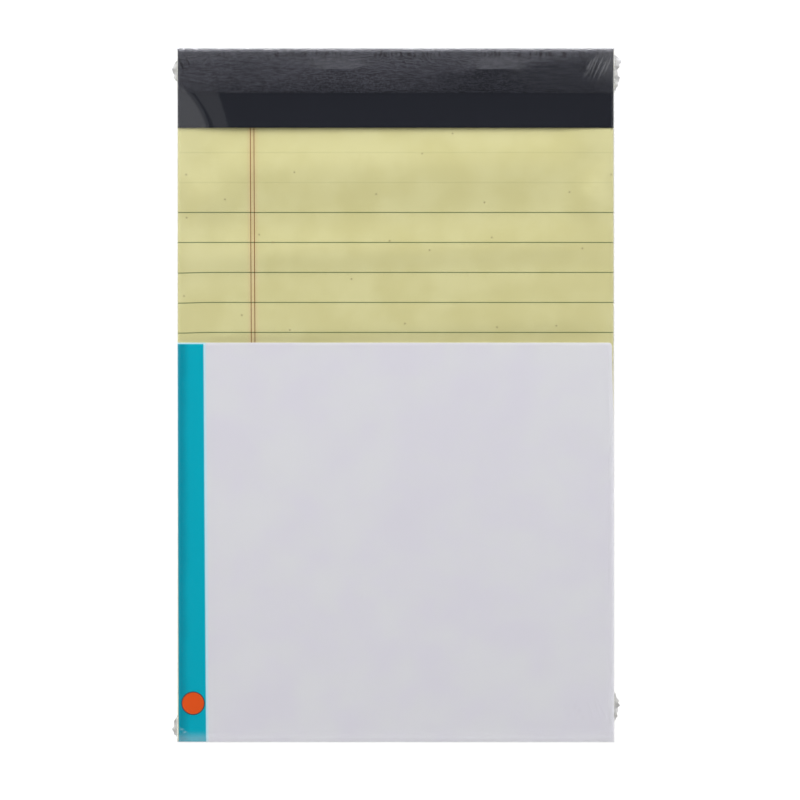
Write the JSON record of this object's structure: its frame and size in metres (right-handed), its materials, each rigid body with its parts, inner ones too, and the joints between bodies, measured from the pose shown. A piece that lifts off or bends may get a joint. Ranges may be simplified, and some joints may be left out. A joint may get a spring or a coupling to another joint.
{
  "type": "legal pad",
  "caption": "Junior legal pad of ruled canary sheets on a board, stapled and taped at the head, with a label sheet over its lower front, sealed in clear shrink film.",
  "frame": {"origin": "on the floor under the middle of the pad, which lies on its back", "axes": "+Z out of the front face, +Y along the pad towards its bound head, +X to the right as it is read"},
  "size_m": [0.1314, 0.2028, 0.0059],
  "materials": {
    "canary_paper": "matte",
    "grey_chipboard": "matte",
    "staple_wire": "satin",
    "black_binding_tape": "satin",
    "white_label_paper": "satin",
    "clear_film": "gloss"
  },
  "bodies": {
    "root": {"ruled_sheets": "canary_paper", "backing_board": "grey_chipboard", "staples": "staple_wire", "binding_tape": "black_binding_tape", "label_sheet": "white_label_paper", "shrink_film": "clear_film"}
  },
  "joints": []
}
